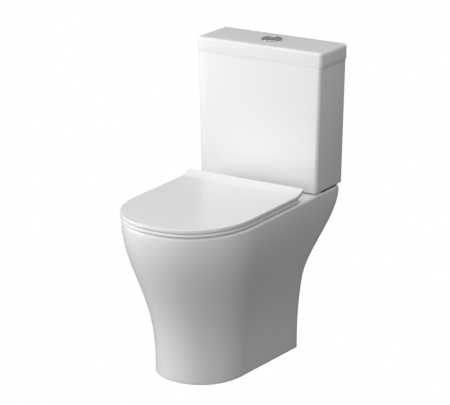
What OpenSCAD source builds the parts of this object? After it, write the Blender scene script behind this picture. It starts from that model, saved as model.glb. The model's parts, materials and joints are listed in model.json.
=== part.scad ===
// Close coupled toilet: pan, cistern, slim soft close seat, dual flush valve and fill valve.
// Coordinates inside the modules: x across, y from the wall (the front is at -y), z up from the floor.

/* [Overall] */
// Height from the floor to the top of the cistern lid
total_h = 768; // [740:2:800]
// Projection from the wall to the front of the seat lid
projection = 610; // [600:2:630]
// Width of the cistern lid, the widest piece
lid_w = 360; // [352:2:372]

/* [Pan] */
// Height of the rim and of the deck under the cistern
rim_h = 405; // [400:1:410]
// Half width at the rim
rim_hw = 170; // [169:0.5:172]
// Half width of the foot at its back edge
foot_back_hw = 127; // [124:1:132]
// Half width of the foot where its nose begins
foot_hw = 115; // [112:1:120]
// Thickness of the china skirt and of the bowl
china_t = 12; // [11:0.5:13]
// Thickness of the deck
deck_t = 16; // [15:0.5:18]
// Height of the outlet above the floor
outlet_h = 180; // [176:1:184]

/* [Cistern] */
// Front to back depth of the cistern lid
lid_d = 134; // [130:1:138]
// Height of the cistern lid
lid_h = 37; // [34:1:40]
// Overhang of the lid past the cistern on each side
lid_overhang = 2.5; // [2:0.5:3]
// How much narrower each side of the cistern is at its foot
cistern_taper = 7; // [4:0.5:8]
// Thickness of the cistern walls
cistern_t = 10; // [9:0.5:11]

/* [Seat] */
// Half width of the lid of the seat
seat_hw = 168.5; // [168:0.5:169]
// Thickness of the seat ring
ring_t = 8; // [7.5:0.5:8.5]
// Height of the hinge axis above the deck
hinge_rise = 14; // [14:0.5:15]
// Distance between the two hinge posts
hinge_spacing = 155; // [150:1:160]

/* [Button] */
// Radius of the chrome collar
collar_r = 26.5; // [26:0.5:28]
// Radius of the split push button
button_r = 20.5; // [20:0.1:20.6]

/* [Hidden] */
$fn = 64;

slip = 0.05;            // running clearance on a radius
eps = 0.5;              // how far a cutter runs past a face
shift_y = projection / 2;

// Pan
flare_h = 400;          // height at which the skirt has its full width
flare_power = 1.32;     // how late the flare begins
foot_nose_y = -373;     // where the nose of the foot begins
rim_nose_y = -410;      // where the nose of the rim begins
foot_nose = 135;        // length of the nose at the foot
rim_nose = projection - 3 + rim_nose_y;
nose_power = 2.2;       // 2 is an ellipse, more is squarer
deck_back_y = -15;      // rear edge of the deck
sweep_back = 128;       // how far the rear edge runs forward from deck to foot
sweep_low = 192;        // height at which the rear edge has run forward
sweep_high = 396;       // height at which it starts to
rim_round = 7;          // radius of the rounded top edge
bowl_hw = 122;          // half width of the bowl's mouth
bowl_hl = 150;          // half length of the bowl's mouth
bowl_y = -424;          // middle of the bowl's mouth
sump_z = 76;            // inner floor of the sump
sump_hw = 42;
sump_hl = 50;
sump_y = -412;
sump_top = 120;         // height at which the bowl starts to widen
trap_r = 37;            // inner radius of the trapway
trap_t = 10;            // china round the trapway
trap_path = [[-404, 110], [-362, 117], [-322, 148], [-292, 192], [-262, 224], [-228, 230],
             [-200, 212], [-180, 190], [-160, outlet_h + 2], [-140, outlet_h]];
spigot_r = 51;
spigot_bore_r = 41;
spigot_back_y = -110;
spigot_front_y = -154;
lug_x = 95;             // floor fixing lugs
lug_y = -190;
lug_h = 15;
lug_hole_r = 4.5;

// Flush inlet in the deck and the cistern's holes
valve_y = -67;
coupling_x = 72;
coupling_r = 4;
coupling_hole_r = 6;
inlet_x = 125;
inlet_hole_r = 11.5;
channel_low = rim_h - 55;
channel_high = rim_h - 27;

// Cistern
pad_t = 2;
cistern_z = rim_h + pad_t;
cistern_floor = cistern_z + 12;
cistern_top = total_h - lid_h - 0.4;
cistern_hw = lid_w / 2 - lid_overhang;
cistern_back_y = -1;
cistern_front_y = 1 - lid_d;
corner_r = 9;
foot_round = 7;         // radius of the cistern's rounded bottom edge
lid_round = 7;          // radius of the lid's rounded top edge
wall_hole_x = 100;
wall_hole_z = 690;
wall_hole_r = 4;

// Seat
hinge_x = hinge_spacing / 2;
hinge_y = -181;
hinge_z = rim_h + hinge_rise;
knuckle_r = 9.5;
bush_r = 7.5;
pin_r = 6;
seat_nose_y = -413.5;
seat_nose = projection + seat_nose_y;
seat_power = 2.28;
ring_z = rim_h + 2.5;
ring_top = ring_z + ring_t;
lid_z = ring_top + 1.8;
lid_top = lid_z + 9.3;
lip_top = lid_top + 12; // top of the lid's swept up rear lip
lid_back_y = hinge_y - 10.5;
ring_back_y = hinge_y - 15;
ring_corner_r = 22;     // rounded rear corners of the ring
lip_run = 36;           // how far forward the lip starts to rise
lip_under_run = 27;     // the same underneath
lip_edge = 8;           // thickness of the lip at its rear edge
base_r = 13.5;
post_hw = 9.5;          // half length of a post's head along the axis
ear_gap = 0.6;          // side play between knuckles and posts
ear_w = 16;
bolt_r = 4;

// Flush valve
tail_r = 29.8;
tail_bore_r = 25;
cage_r = 38;
cage_top = 535;
tube_r = 13;
tube_bore_r = 10.5;
tube_top = 570;
head_z = 560;
head_h = 20;
lever_x = -24;
lever_z = 597;
lever_pin_r = 2;
rod_x = 12;
rod_r = 2;
rod_foot = 601;

// Fill valve
riser_r = 10;
riser_bore_r = 6;
inlet_tail_r = 10.48;   // G 1/2 pipe thread over its crests
inlet_tail_z = 345;
inlet_neck_r = 10.3;    // the tail inside its nut and the cistern
fill_cap_z = 630;
float_z = 560;
arm_x = inlet_x + 14;   // distance of the arm's pivot from the middle, on the left
arm_z = 655;
link_dx = 34;           // from the arm's pivot to the float's link

// Button
lid_hole_r = 23.5;
sleeve_r = 23;
sleeve_bore_r = 21;
collar_h = 3.5;
button_top = total_h + 3;
button_floor = total_h - 9;
split_x = 9;            // where the split crosses the middle of the button
split_r = 24;           // radius of the split's arc
split_gap = 0.5;
spring_low = button_floor - 26;

china = [0.95, 0.95, 0.94];
seat_white = [0.97, 0.97, 0.96];
chrome = [0.78, 0.79, 0.81];
grey = [0.62, 0.64, 0.66];
rubber = [0.13, 0.13, 0.13];
brass = [0.78, 0.66, 0.36];
steel = [0.66, 0.67, 0.69];

// ---- helpers ----
function mix(a, b, t) = a + (b - a) * t;
function ease(t) = pow(sin(90 * min(max(t, 0), 1)), 2);
function power_of(v, p) = sign(v) * pow(abs(v), p);

// Half outline of a D: straight side from the back to the nose, then a superellipse nose
function d_outline(back_hw, back_y, hw, nose_y, nose, power, steps = 32) = concat(
    [[back_hw, back_y]],
    [for (i = [0:steps]) let (a = 180 * i / steps)
        [hw * power_of(cos(a), 2 / power), nose_y - nose * power_of(sin(a), 2 / power)]],
    [[-back_hw, back_y]]
);

function egg(hw, hl, y, steps = 36) = [for (i = [0:steps - 1]) let (a = -360 * i / steps)
    [hw * cos(a), y + hl * sin(a)]];

// Rectangle with round corners, back_y > front_y
function round_box(hw, back_y, front_y, r, steps = 6) = [
    for (q = [0:3], i = [0:steps]) let (
        a = 90 - 90 * q - 90 * i / steps,
        cx = q < 2 ? hw - r : r - hw,
        cy = q == 0 || q == 3 ? back_y - r : front_y + r)
    [cx + r * cos(a), cy + r * sin(a)]];

// Solid through rings of n points each, counted clockwise seen from the last ring
module skin(points, n) {
    last = len(points) - n;
    sides = [for (a = [0:n:last - n], i = [0:n - 1]) let (j = (i + 1) % n, b = a + n)
        each [[a + i, a + j, b + j], [a + i, b + j, b + i]]];
    caps = [[for (i = [0:n - 1]) n - 1 - i], [for (i = [0:n - 1]) last + i]];
    polyhedron(points, concat(sides, caps), convexity = 8);
}

// Solid through level outlines, each given as [height, outline]
module loft(rings) skin([for (ring = rings, p = ring[1]) [p[0], p[1], ring[0]]], len(rings[0][1]));

module placed() translate([0, shift_y, 0]) children();
module pair(x) for (s = [-1, 1]) translate([s * x, 0, 0]) children();
module at(x, y, z) translate([x, y, z]) children();
module tube(r, bore, h) difference() {
    cylinder(r = r, h = h);
    translate([0, 0, -eps]) cylinder(r = bore, h = h + 2 * eps);
}
module wing_nut(r, h, span, bore) difference() {
    union() {
        cylinder(r = r, h = h);
        translate([-span / 2, -2.5, 0]) cube([span, 5, h]);
    }
    translate([0, 0, -eps]) cylinder(r = bore, h = h + 2 * eps);
}

// ---- pan ----
function skirt_outline(z, inset = 0) = let (f = ease(pow(min(z, flare_h) / flare_h, flare_power)))
    d_outline(mix(foot_back_hw, rim_hw, f) - inset,
        deck_back_y - sweep_back * ease((sweep_high - z) / (sweep_high - sweep_low)),
        mix(foot_hw, rim_hw, f) - inset, mix(foot_nose_y, rim_nose_y, f),
        mix(foot_nose, rim_nose, f) - inset, nose_power);

// The same outline with its back edge pushed out behind the pan, so that the hollow is open there
function hollow_outline(z) = let (f = ease(pow(z / flare_h, flare_power)))
    d_outline(mix(foot_back_hw, rim_hw, f) - china_t, 0,
        mix(foot_hw, rim_hw, f) - china_t, mix(foot_nose_y, rim_nose_y, f),
        mix(foot_nose, rim_nose, f) - china_t, nose_power);

function bowl_outline(z, t = 0) = let (g = pow(max(0, z - sump_top) / (rim_h - sump_top), 0.6))
    egg(mix(sump_hw, bowl_hw, g) + t, mix(sump_hl, bowl_hl, g) + t, mix(sump_y, bowl_y, g));

module skirt() loft(concat(
    [for (z = [0:20:380]) [z, skirt_outline(z)]],
    [for (a = [0:22.5:90]) let (z = rim_h - rim_round * (1 - sin(a)))
        [z, skirt_outline(z, rim_round * (1 - cos(a)))]]));

module skirt_hollow() loft([for (z = [-1, 30, 90, 150, 210, 270, 330, rim_h - deck_t])
    [z, hollow_outline(max(z, 0))]]);

module bowl_form(t, low, high) loft(concat(
    [[low, egg(sump_hw / 2 + t, sump_hl / 2 + t, sump_y)],
     [low + 4, egg(sump_hw - 8 + t, sump_hl - 8 + t, sump_y)],
     [low + 14, egg(sump_hw + t, sump_hl + t, sump_y)]],
    [for (z = [sump_top, 130, 145, 165, 195, 230, 270, 310, 350, high]) [z, bowl_outline(z, t)]]));

// Tube swept along the trapway's middle line
module trap_form(r) {
    n = 24;
    m = len(trap_path);
    skin([for (k = [0:m - 1]) let (
            d = trap_path[min(k + 1, m - 1)] - trap_path[max(k - 1, 0)],
            u = [-d[1], d[0]] / norm(d))
        for (i = [0:n - 1]) let (a = 360 * i / n)
            [r * cos(a), trap_path[k][0] + r * sin(a) * u[0], trap_path[k][1] + r * sin(a) * u[1]]], n);
}

module pan() color(china) difference() {
    union() {
        difference() {
            skirt();
            skirt_hollow();
        }
        bowl_form(china_t, sump_z - china_t, rim_h - 2);
        trap_form(trap_r + trap_t);
        at(0, spigot_back_y, outlet_h) rotate([90, 0, 0])
            cylinder(r = spigot_r, h = spigot_back_y - spigot_front_y);
        // Flush inlet and the water way to the back of the bowl
        at(0, valve_y, channel_low - china_t) cylinder(r = 46.5, h = rim_h - channel_low + china_t - 1);
        at(-40, -290, channel_low - china_t) cube([80, 290 + valve_y, rim_h - channel_low + china_t - 1]);
        // Lugs for the floor screws
        pair(lug_x) at(-15, lug_y - 20, 0) cube([30, 40, lug_h]);
    }
    bowl_form(0, sump_z, rim_h + 1);
    trap_form(trap_r);
    at(0, spigot_back_y + eps, outlet_h) rotate([90, 0, 0])
        cylinder(r = spigot_bore_r, h = spigot_back_y - spigot_front_y + 2);
    // Inlet bore with a seat for the doughnut washer
    at(0, valve_y, channel_low) cylinder(r = 33, h = 60);
    at(0, valve_y, rim_h - 19) cylinder(r = 43, h = 25);
    at(-28, -310, channel_low) cube([56, 310 + valve_y, channel_high - channel_low]);
    // Coupling bolts, hinge bolts and floor screws
    pair(coupling_x) at(0, valve_y, rim_h - 40) cylinder(r = coupling_hole_r, h = 50);
    pair(hinge_x) at(0, hinge_y, rim_h - 40) cylinder(r = 7, h = 50);
    pair(lug_x) at(0, lug_y, -eps) cylinder(r = lug_hole_r, h = lug_h + 1);
    // Notches for the water inlet on either side
    pair(inlet_x) at(-25, valve_y - 29, rim_h - 40) cube([50, 100, 50]);
}

// ---- seat ----
module ring_shape() difference() {
    union() {
        polygon(d_outline(seat_hw - 1, ring_back_y - ring_corner_r, seat_hw - 1, seat_nose_y,
            seat_nose - 1, seat_power));
        for (s = [-1, 1]) translate([s * (seat_hw - 1 - ring_corner_r), ring_back_y - ring_corner_r])
            circle(r = ring_corner_r);
        translate([ring_corner_r + 1 - seat_hw, ring_back_y - ring_corner_r - 1])
            square([2 * (seat_hw - 1 - ring_corner_r), ring_corner_r + 1]);
    }
    polygon(egg(112, 150, -414, 48));
}

// Round bar of length w along the hinge axis, from x outwards
module hinge_bar(x, r, w) at(x, hinge_y, hinge_z) rotate([0, 90, 0]) cylinder(r = r, h = w);

// Knuckle round the hinge axis with an arm that reaches forward into the plate
module knuckle(x, low, high, reach) difference() {
    union() {
        hinge_bar(x, knuckle_r, ear_w);
        at(x, hinge_y - reach, low) cube([ear_w, reach, high - low]);
    }
    hinge_bar(x - eps, bush_r, ear_w + 2 * eps);
}

ring_ear_x = hinge_x - post_hw - ear_gap - ear_w;
lid_ear_x = hinge_x + post_hw + ear_gap;

module both_sides() {
    children();
    mirror([1, 0, 0]) children();
}

module seat_ring() color(seat_white) union() {
    at(0, 0, ring_z) linear_extrude(ring_t) ring_shape();
    both_sides() knuckle(ring_ear_x, hinge_z - 9, ring_top, 20);
}

// Side view of the lid: flat, with a rear lip swept up along a concave arc
function lid_profile() = concat(
    [[-640, lid_z], [-640, lid_top]],
    [for (i = [0:8]) let (t = i / 8)
        [lid_back_y - lip_run * (1 - t), mix(lid_top, lip_top, pow(t, 1.5))]],
    [for (i = [8:-1:0]) let (t = i / 8)
        [lid_back_y - lip_under_run * (1 - t), mix(lid_z, lip_top - lip_edge, t * t)]]
);

module seat_lid() color(seat_white) {
    difference() {
        intersection() {
            at(0, 0, lid_z - 1) linear_extrude(30)
                polygon(d_outline(seat_hw, lid_back_y, seat_hw, seat_nose_y, seat_nose, seat_power));
            rotate([90, 0, 90]) linear_extrude(2 * seat_hw + 10, center = true) polygon(lid_profile());
        }
        // Shallow hollow underneath, clear of the thick rim
        at(0, 0, lid_z - 1) linear_extrude(5)
            polygon(d_outline(seat_hw - 12, lid_back_y - 32, seat_hw - 12, seat_nose_y,
                seat_nose - 12, seat_power));
    }
    both_sides() knuckle(lid_ear_x, hinge_z, hinge_z + 9, 24);
}

ring_buffer_places = [[146, -300], [122, -520]];
lid_buffer_places = [[140, -300], [114, -515]];

module ring_buffers() color(grey) both_sides() for (p = ring_buffer_places)
    at(p[0], p[1], rim_h + 0.1) cylinder(r = 7, h = ring_z - rim_h - 0.1);

module lid_buffers() color(grey) both_sides() for (p = lid_buffer_places)
    at(p[0], p[1], ring_top + 0.1) cylinder(r = 6, h = lid_z + 4 - ring_top - 0.1);

module hinge_bush(x) difference() {
    hinge_bar(x, bush_r, ear_w);
    hinge_bar(x - eps, pin_r + slip, ear_w + 2 * eps);
}
module ring_bushes() color(grey) both_sides() hinge_bush(ring_ear_x);
module lid_bushes() color(grey) both_sides() hinge_bush(lid_ear_x);

module hinge_gaskets() color(rubber) pair(hinge_x) at(0, hinge_y, rim_h) tube(base_r, bolt_r + 1, 1);
module hinge_bases() color(chrome) pair(hinge_x) at(0, hinge_y, rim_h + 1) difference() {
    union() {
        cylinder(r = base_r, h = 1.5);
        cylinder(r = base_r - 1, h = 3);
    }
    at(0, 0, -eps) cylinder(r = bolt_r + slip, h = 4);
}
module hinge_posts() color(chrome) both_sides() difference() {
    union() {
        at(hinge_x, hinge_y, rim_h + 4) cylinder(r = 8, h = hinge_rise - 4);
        hinge_bar(hinge_x - post_hw, knuckle_r, 2 * post_hw);
    }
    hinge_bar(hinge_x - post_hw - eps, pin_r + slip, 2 * (post_hw + eps));
    at(hinge_x, hinge_y, rim_h + 3) cylinder(r = bolt_r + slip, h = hinge_rise - pin_r - 3.2);
}
module damper_barrels() color(grey) both_sides()
    hinge_bar(ring_ear_x - 1, pin_r, lid_ear_x + ear_w - ring_ear_x + 2);
module hinge_bolts() color(steel) pair(hinge_x) at(0, hinge_y, rim_h - 62)
    cylinder(r = bolt_r, h = 62 + 7);
module hinge_washers() color(rubber) pair(hinge_x) at(0, hinge_y, rim_h - deck_t - 5)
    tube(15, bolt_r + 0.2, 5);
module hinge_nuts() color(grey) pair(hinge_x) at(0, hinge_y, rim_h - deck_t - 16)
    wing_nut(11, 11, 40, bolt_r + slip);

// ---- cistern ----
function cistern_hw_at(z) = cistern_hw - cistern_taper * (cistern_top - z) / (cistern_top - cistern_z);
function cistern_outline(z, inset = 0) = round_box(cistern_hw_at(z) - inset,
    cistern_back_y - inset, cistern_front_y + inset, max(corner_r - inset, 3));

module cistern() color(china) difference() {
    loft(concat(
        [for (a = [0:22.5:90]) let (z = cistern_z + foot_round * (1 - cos(a)))
            [z, cistern_outline(z, foot_round * (1 - sin(a)))]],
        [[cistern_top - 4, cistern_outline(cistern_top - 4)],
         [cistern_top, cistern_outline(cistern_top, 1.5)]]));
    loft([[cistern_floor, cistern_outline(cistern_floor, cistern_t + 4)],
        [cistern_floor + 6, cistern_outline(cistern_floor + 6, cistern_t)],
        [cistern_top + 1, cistern_outline(cistern_top, cistern_t)]]);
    at(0, valve_y, cistern_z - eps) cylinder(r = 31, h = 20);
    pair(coupling_x) at(0, valve_y, cistern_z - eps) cylinder(r = coupling_hole_r, h = 20);
    pair(inlet_x) at(0, valve_y, cistern_z - eps) cylinder(r = inlet_hole_r, h = 20);
    pair(wall_hole_x) at(0, 5, wall_hole_z) rotate([90, 0, 0]) cylinder(r = wall_hole_r, h = 30);
}

module cistern_pads() color(rubber) pair(lid_w / 2 - 20) at(-8, -100, rim_h) cube([16, 70, pad_t]);

module coupling_bolts() color(brass) pair(coupling_x) at(0, valve_y, 0) {
    at(0, 0, rim_h - 60) cylinder(r = coupling_r, h = cistern_floor + 6.5 - rim_h + 60);
    at(0, 0, cistern_floor + 6.5) difference() {
        cylinder(r = 8, h = 4);
        at(-10, -0.8, 2.5) cube([20, 1.6, 4]);
    }
}
module bolt_rubber_washers() color(rubber) pair(coupling_x) at(0, valve_y, cistern_floor)
    tube(13, coupling_r + 0.1, 5);
module bolt_steel_washers() color(steel) pair(coupling_x) at(0, valve_y, cistern_floor + 5)
    tube(11, coupling_r + 0.1, 1.5);
module deck_washers() color(rubber) pair(coupling_x) at(0, valve_y, rim_h - deck_t - 4)
    tube(13, coupling_r + 0.1, 4);
module coupling_wing_nuts() color(brass) pair(coupling_x) at(0, valve_y, rim_h - deck_t - 12)
    wing_nut(8, 8, 30, coupling_r + slip);
module doughnut_washer() color(rubber) at(0, valve_y, rim_h - 18.8) difference() {
    cylinder(r = 42, h = cistern_z - rim_h + 18.6);
    at(0, 0, -eps) cylinder(r = tail_r + 0.4, h = 40);
    at(0, 0, cistern_z - rim_h + 18.6 - 9.4) cylinder(r = 36.3, h = 20);
}

// ---- flush valve ----
base_z = cistern_floor + 3;     // underside of the valve's flange
seat_z = base_z + 4;            // top of the flange
lip_h = 3.5;                    // height of the seat that the seal rests on

module valve_base() color(grey) at(0, valve_y, 0) difference() {
    union() {
        at(0, 0, rim_h - 33) cylinder(r = tail_r, h = base_z - rim_h + 34);
        at(0, 0, base_z) cylinder(r = 44, h = 4);
        at(0, 0, seat_z) cylinder(r = tail_bore_r + 4, h = lip_h);
    }
    at(0, 0, rim_h - 34) cylinder(r = tail_bore_r, h = 80);
}
module valve_base_washer() color(rubber) at(0, valve_y, cistern_floor) tube(42, tail_r + 0.2, 3);
module valve_backnut() color(grey) at(0, valve_y, cistern_z - 9) tube(36, tail_r + slip, 8.8);
module valve_cage() color(grey) at(0, valve_y, 0) {
    difference() {
        at(0, 0, seat_z) cylinder(r = cage_r, h = cage_top - seat_z);
        at(0, 0, seat_z - eps) cylinder(r = cage_r - 2.5, h = cage_top - seat_z - 3.5);
        at(0, 0, cage_top - 10) cylinder(r = tube_r + 0.6, h = 20);
        for (a = [0:60:300]) rotate([0, 0, a + 30]) at(cage_r - 8, -10, seat_z + 5) cube([16, 20, 45]);
    }
    // Legs that carry the head
    for (s = [-1, 1]) at(-8, s * 30 - 3, cage_top) cube([16, 6, head_z - cage_top]);
}
module valve_head() color(grey) at(0, valve_y, 0) {
    difference() {
        at(0, 0, head_z) cylinder(r = 36, h = head_h);
        at(0, 0, head_z - eps) cylinder(r = tube_r + 0.6, h = head_h + 1);
    }
    difference() {
        for (s = [-1, 1]) at(lever_x - 6, s * 8.5 - 2, head_z + head_h) cube([12, 4, 24]);
        at(lever_x, 0, lever_z) rotate([90, 0, 0]) cylinder(r = lever_pin_r + slip, h = 30, center = true);
    }
}
module lever_pin() color(steel) at(lever_x, valve_y, lever_z) rotate([90, 0, 0])
    cylinder(r = lever_pin_r, h = 23, center = true);
module lift_lever() color(seat_white) at(lever_x, valve_y, lever_z) difference() {
    union() {
        at(-21, -5, -2) cube([38, 10, 4]);
        rotate([90, 0, 0]) cylinder(r = 5, h = 12, center = true);
    }
    rotate([90, 0, 0]) cylinder(r = lever_pin_r + slip, h = 30, center = true);
}
module overflow_tube() color(seat_white) at(0, valve_y, 0) difference() {
    union() {
        at(0, 0, rim_h) cylinder(r = tube_r, h = tube_top - rim_h);
        at(0, 0, seat_z + lip_h + 3) cylinder(r = 22, h = 3);
        at(-50, -4, cage_top + 5) cube([50, 8, 6]);
        at(-50, -4, cage_top + 5) cube([3.5, 8, lever_z + 7 - cage_top - 5]);
        at(-50, -4, lever_z + 3) cube([12, 8, 4]);
    }
    at(0, 0, rim_h - 1) cylinder(r = tube_bore_r, h = 200);
}
module valve_seal() color(rubber) at(0, valve_y, seat_z + lip_h) tube(33, tube_r, 3);

// ---- fill valve, on the left ----
module fill_riser() color(grey) at(-inlet_x, valve_y, 0) difference() {
    union() {
        at(0, 0, inlet_tail_z) cylinder(r = inlet_tail_r, h = cistern_z - 13 - inlet_tail_z);
        at(0, 0, inlet_tail_z) cylinder(r = inlet_neck_r, h = cistern_floor + 3 - inlet_tail_z);
        at(0, 0, cistern_floor + 3) cylinder(r = 19, h = 4);
        at(0, 0, cistern_floor + 7) cylinder(r = riser_r, h = fill_cap_z - cistern_floor - 7);
    }
    at(0, 0, inlet_tail_z - 1) cylinder(r = riser_bore_r, h = 400);
}
module fill_washer() color(rubber) at(-inlet_x, valve_y, cistern_floor) tube(18, inlet_tail_r + 0.1, 3);
module fill_backnut() color(grey) at(-inlet_x, valve_y, cistern_z - 12)
    difference() {
        cylinder(r = 17, h = 12, $fn = 6);
        at(0, 0, -eps) cylinder(r = inlet_tail_r + slip, h = 14);
    }
module inlet_filter() color(seat_white) at(-inlet_x, valve_y, inlet_tail_z + 2) difference() {
    cylinder(r = riser_bore_r - slip, h = 24);
    at(0, 0, -eps) cylinder(r = 4, h = 22);
    for (a = [0:45:135]) rotate([0, 0, a]) at(-7, -0.6, 6) cube([14, 1.2, 12]);
}
module fill_cap() color(seat_white) at(-inlet_x, valve_y, fill_cap_z) difference() {
    union() {
        cylinder(r = 18, h = 15);
        for (s = [-1, 1]) at(inlet_x - arm_x - 5, s * 7 - 1.5, 15) cube([10, 3, 16]);
        at(0, -30, 4) cylinder(r = 6, h = 9);
        at(-5, -28, 4) cube([10, 20, 9]);
    }
    at(inlet_x - arm_x, 0, arm_z - fill_cap_z) rotate([90, 0, 0])
        cylinder(r = 1.5 + slip, h = 30, center = true);
    at(0, -30, -eps) cylinder(r = 4, h = 10);
}
module fill_downpipe() color(grey) at(-inlet_x, valve_y - 30, fill_cap_z - 160) tube(3.9, 2.8, 164);
module arm_pin() color(steel) at(-arm_x, valve_y, arm_z) rotate([90, 0, 0])
    cylinder(r = 1.5, h = 19, center = true);
module float_arm() color(grey) at(-arm_x, valve_y, arm_z) difference() {
    union() {
        rotate([90, 0, 0]) cylinder(r = 4.5, h = 10, center = true);
        at(0, -4, -3) cube([48, 8, 5]);
    }
    rotate([90, 0, 0]) cylinder(r = 1.5 + slip, h = 30, center = true);
}
module float_cup() color(seat_white) at(-inlet_x, valve_y, 0) {
    difference() {
        at(0, 0, float_z) cylinder(r = 25, h = 45);
        at(0, 0, float_z - eps) cylinder(r = riser_r + 1, h = 50);
        at(0, 0, float_z - eps) difference() {
            cylinder(r = 23, h = 42);
            at(0, 0, -1) cylinder(r = riser_r + 3, h = 50);
        }
    }
    at(inlet_x - arm_x + link_dx, 0, float_z + 44) cylinder(r = 1.5, h = arm_z - 3.5 - float_z - 44);
}

// ---- blanking plug, on the right ----
module blanking_plug() color(grey) at(inlet_x, valve_y, 0) {
    at(0, 0, cistern_z - 16) cylinder(r = inlet_tail_r, h = cistern_floor + 3 - cistern_z + 16);
    at(0, 0, cistern_floor + 3) cylinder(r = 17, h = 4);
}
module blanking_washer() color(rubber) at(inlet_x, valve_y, cistern_floor) tube(16, inlet_tail_r + 0.1, 3);
module blanking_nut() color(grey) at(inlet_x, valve_y, cistern_z - 9) difference() {
    cylinder(r = 16, h = 9, $fn = 6);
    at(0, 0, -eps) cylinder(r = inlet_tail_r + slip, h = 12);
}

// ---- cistern lid and button ----
function lid_outline(inset) =
    round_box(lid_w / 2 - inset, -inset, inset - lid_d, max(corner_r + 1 - inset, 2));
module cistern_lid() color(china) difference() {
    union() {
        loft(concat(
            [[total_h - lid_h, lid_outline(1)], [total_h - lid_h + 1, lid_outline(0)]],
            [for (a = [0:18:90])
                [total_h - lid_round * (1 - sin(a)), lid_outline(lid_round * (1 - cos(a)))]]));
        // Locating rim that drops inside the cistern
        loft([[total_h - lid_h - 8, lid_outline(cistern_t + 5.5)],
            [total_h - lid_h + 1, lid_outline(cistern_t + 5.5)]]);
    }
    loft([[total_h - lid_h - 9, lid_outline(cistern_t + 11)], [total_h - 12, lid_outline(cistern_t + 11)]]);
    at(0, valve_y, total_h - 30) cylinder(r = lid_hole_r, h = 40);
}
module button_collar() color(chrome) at(0, valve_y, total_h)
    rotate_extrude() polygon(concat([[button_r + 0.6, 0], [collar_r, 0]],
        [for (a = [0:15:90]) [collar_r - 2.5 + 2.5 * cos(a), collar_h - 2.5 + 2.5 * sin(a)]],
        [[button_r + 0.6, collar_h]]));
// Threaded sleeve with a web across it, on which the return springs rest
module button_sleeve() color(grey) at(0, valve_y, 0) difference() {
    at(0, 0, total_h - 44) cylinder(r = sleeve_r, h = 44);
    at(0, 0, total_h - 44 - eps) cylinder(r = sleeve_bore_r, h = spring_low - total_h + 41.5 + eps);
    at(0, 0, spring_low) cylinder(r = sleeve_bore_r, h = 44);
    pair(rod_x) at(0, 0, spring_low - 5) cylinder(r = 3.4, h = 10);
}
module sleeve_backnut() color(grey) at(0, valve_y, total_h - 21) tube(31, sleeve_r + slip, 9);

module button_disc() circle(r = button_r);
module split_disc(grow) translate([split_x + split_r, 0]) circle(r = split_r + grow);
module full_shape() difference() {
    button_disc();
    split_disc(split_gap / 2);
}
module half_shape() intersection() {
    button_disc();
    split_disc(-split_gap / 2);
}
module full_button() color(chrome) at(0, valve_y, button_floor)
    linear_extrude(button_top - button_floor) full_shape();
module half_button() color(chrome) at(0, valve_y, button_floor)
    linear_extrude(button_top - button_floor) half_shape();

module push_rod(x) at(x, valve_y, 0) {
    at(0, 0, rod_foot) cylinder(r = rod_r, h = button_floor - rod_foot);
    at(0, 0, button_floor - 60) cylinder(r = 3, h = 60);
}
module full_rod() color(seat_white) push_rod(-rod_x);
module half_rod() color(seat_white) push_rod(rod_x);

// Return spring: stacked rings standing for the turns of the coil
module return_spring(x) at(x, valve_y, 0) rotate_extrude() translate([4.3, 0]) polygon(
    concat([for (i = [0:6]) each [[0, spring_low + i * 3.7], [0.8, spring_low + i * 3.7 + 1.8]]],
        [for (i = [6:-1:0]) each [[1.4, spring_low + i * 3.7 + 1.8], [0.6, spring_low + i * 3.7]]]));
module full_spring() color(steel) return_spring(-rod_x);
module half_spring() color(steel) return_spring(rod_x);

placed() pan();
placed() seat_ring();
placed() seat_lid();
placed() ring_buffers();
placed() lid_buffers();
placed() ring_bushes();
placed() lid_bushes();
placed() hinge_gaskets();
placed() hinge_bases();
placed() hinge_posts();
placed() damper_barrels();
placed() hinge_bolts();
placed() hinge_washers();
placed() hinge_nuts();
placed() cistern();
placed() cistern_pads();
placed() coupling_bolts();
placed() bolt_rubber_washers();
placed() bolt_steel_washers();
placed() deck_washers();
placed() coupling_wing_nuts();
placed() doughnut_washer();
placed() valve_base();
placed() valve_base_washer();
placed() valve_backnut();
placed() valve_cage();
placed() valve_head();
placed() lever_pin();
placed() lift_lever();
placed() overflow_tube();
placed() valve_seal();
placed() fill_riser();
placed() fill_washer();
placed() fill_backnut();
placed() inlet_filter();
placed() fill_cap();
placed() fill_downpipe();
placed() arm_pin();
placed() float_arm();
placed() float_cup();
placed() blanking_plug();
placed() blanking_washer();
placed() blanking_nut();
placed() cistern_lid();
placed() button_collar();
placed() button_sleeve();
placed() sleeve_backnut();
placed() full_button();
placed() full_rod();
placed() full_spring();
placed() half_button();
placed() half_rod();
placed() half_spring();
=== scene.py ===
# %% [markdown]
# # A close coupled toilet in Blender
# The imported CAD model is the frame: it says where every piece is and how it moves. This lesson builds the
# looks round it. The china is drawn out ring by ring and cut with booleans, as a mould maker thinks of it,
# the seat is a thin moulding with soft edges, and the hinges, bolts and button are turned and rounded. The
# parts of the two valves inside the cistern keep the shape of the CAD and get their finish here.
# Everything is in metres, in the CAD's own place.

# %% Load the frame
import json
import math

import bmesh
import bpy
from mathutils import Matrix, Vector


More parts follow.
